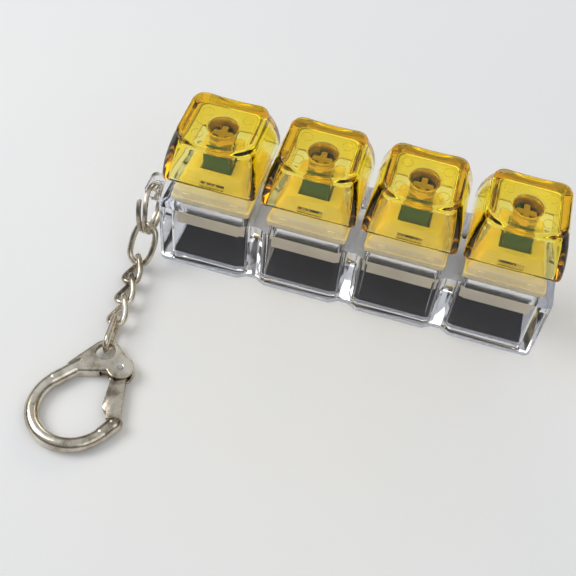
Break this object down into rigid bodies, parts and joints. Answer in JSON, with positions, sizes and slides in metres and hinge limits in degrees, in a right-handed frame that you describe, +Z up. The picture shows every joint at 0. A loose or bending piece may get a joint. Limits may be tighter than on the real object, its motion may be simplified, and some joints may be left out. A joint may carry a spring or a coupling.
{
  "type": "push-key finger exerciser keychain",
  "caption": "Finger exerciser: a clear case holding a row of spring-return push keys with amber see-through keycaps, on a short curb chain with a sprung clasp",
  "frame": {"origin": "centre of the underside of the clear case, on the table", "axes": "+X along the row of keys, away from the keychain; -Y towards the sloping fronts of the keys, where the chain lies; +Z up, the way the keys are released"},
  "size_m": [0.0852, 0.0672, 0.0311],
  "materials": {
    "clear_shell": "polished clear acrylic",
    "dark_pad": "matt black",
    "milky_housing": "translucent milky nylon",
    "amber_cap": "see-through amber, polished",
    "green_stem": "satin",
    "contact_brass": "bright",
    "spring_steel": "drawn wire",
    "nickel_chain": "warm nickel plate, polished",
    "nickel_clasp": "warm nickel plate, polished die casting"
  },
  "bodies": {
    "case": {"case_shell": "clear_shell", "base_cover": "clear_shell", "floor_pad_1": "dark_pad", "floor_pad_2": "dark_pad", "floor_pad_3": "dark_pad", "floor_pad_4": "dark_pad", "housing_base_1": "milky_housing", "housing_base_2": "milky_housing", "housing_base_3": "milky_housing", "housing_base_4": "milky_housing", "housing_top_1": "milky_housing", "housing_top_2": "milky_housing", "housing_top_3": "milky_housing", "housing_top_4": "milky_housing", "contact_plate_1": "contact_brass", "contact_plate_2": "contact_brass", "contact_plate_3": "contact_brass", "contact_plate_4": "contact_brass", "contact_leaf_1": "contact_brass", "contact_leaf_2": "contact_brass", "contact_leaf_3": "contact_brass", "contact_leaf_4": "contact_brass", "return_spring_1": "spring_steel", "return_spring_2": "spring_steel", "return_spring_3": "spring_steel", "return_spring_4": "spring_steel"},
    "key_1": {"key_stem_1": "green_stem", "keycap_1": "amber_cap"},
    "key_2": {"key_stem_2": "green_stem", "keycap_2": "amber_cap"},
    "key_3": {"key_stem_3": "green_stem", "keycap_3": "amber_cap"},
    "key_4": {"key_stem_4": "green_stem", "keycap_4": "amber_cap"},
    "ring": {"split_ring": "nickel_chain"},
    "oval": {"oval_link": "nickel_chain"},
    "link_1": {"chain_link_1": "nickel_chain"},
    "link_2": {"chain_link_2": "nickel_chain"},
    "link_3": {"chain_link_3": "nickel_chain"},
    "link_4": {"end_link": "nickel_chain"},
    "clasp": {"clasp_body": "nickel_clasp", "gate_pin": "spring_steel"},
    "gate": {"clasp_gate": "nickel_clasp", "gate_spring": "spring_steel"}
  },
  "joints": [
    {"name": "key_1_press", "type": "slide", "parent": "case", "child": "key_1", "axis": [0, 0, -1], "range_m": [0, 0.004], "stiffness_N_per_m": 60, "springref_m": -0.006, "deforming": ["return_spring_1"]},
    {"name": "key_2_press", "type": "slide", "parent": "case", "child": "key_2", "axis": [0, 0, -1], "range_m": [0, 0.004], "stiffness_N_per_m": 60, "springref_m": -0.006, "deforming": ["return_spring_2"]},
    {"name": "key_3_press", "type": "slide", "parent": "case", "child": "key_3", "axis": [0, 0, -1], "range_m": [0, 0.004], "stiffness_N_per_m": 60, "springref_m": -0.006, "deforming": ["return_spring_3"]},
    {"name": "key_4_press", "type": "slide", "parent": "case", "child": "key_4", "axis": [0, 0, -1], "range_m": [0, 0.004], "stiffness_N_per_m": 60, "springref_m": -0.006, "deforming": ["return_spring_4"]},
    {"name": "ring_swing", "type": "hinge", "parent": "case", "child": "ring", "pos_m": [-0.0401, -0.00683, 0.0141], "axis": [-1, 0, 0], "range_deg": [-1, 40]},
    {"name": "oval_swing", "type": "hinge", "parent": "ring", "child": "oval", "pos_m": [-0.04004, -0.01021, 0.00881], "axis": [0.9848, -0.1736, 0], "range_deg": [-15, 25]},
    {"name": "link_1_swing", "type": "hinge", "parent": "oval", "child": "link_1", "pos_m": [-0.04088, -0.01498, 0.00225], "axis": [0.9848, -0.1736, 0], "range_deg": [-20, 25]},
    {"name": "link_2_swing", "type": "hinge", "parent": "link_1", "child": "link_2", "pos_m": [-0.04024, -0.02004, 0.00235], "axis": [0.9922, 0.1248, 0], "range_deg": [-15, 35]},
    {"name": "link_3_swing", "type": "hinge", "parent": "link_2", "child": "link_3", "pos_m": [-0.0396, -0.02515, 0.00235], "axis": [0.9922, 0.1248, 0], "range_deg": [-15, 35]},
    {"name": "link_4_swing", "type": "hinge", "parent": "link_3", "child": "link_4", "pos_m": [-0.03896, -0.03026, 0.00235], "axis": [0.9922, 0.1248, 0], "range_deg": [-15, 35]},
    {"name": "clasp_swing", "type": "hinge", "parent": "link_4", "child": "clasp", "pos_m": [-0.03823, -0.03601, 0.00235], "axis": [0, 0, 1], "range_deg": [-25, 25]},
    {"name": "gate_open", "type": "hinge", "parent": "clasp", "child": "gate", "pos_m": [-0.03428, -0.03879, 0.00125], "axis": [0, 0, -1], "range_deg": [0, 32], "stiffness_Nm_per_rad": 0.004, "springref_deg": -20.05}
  ]
}
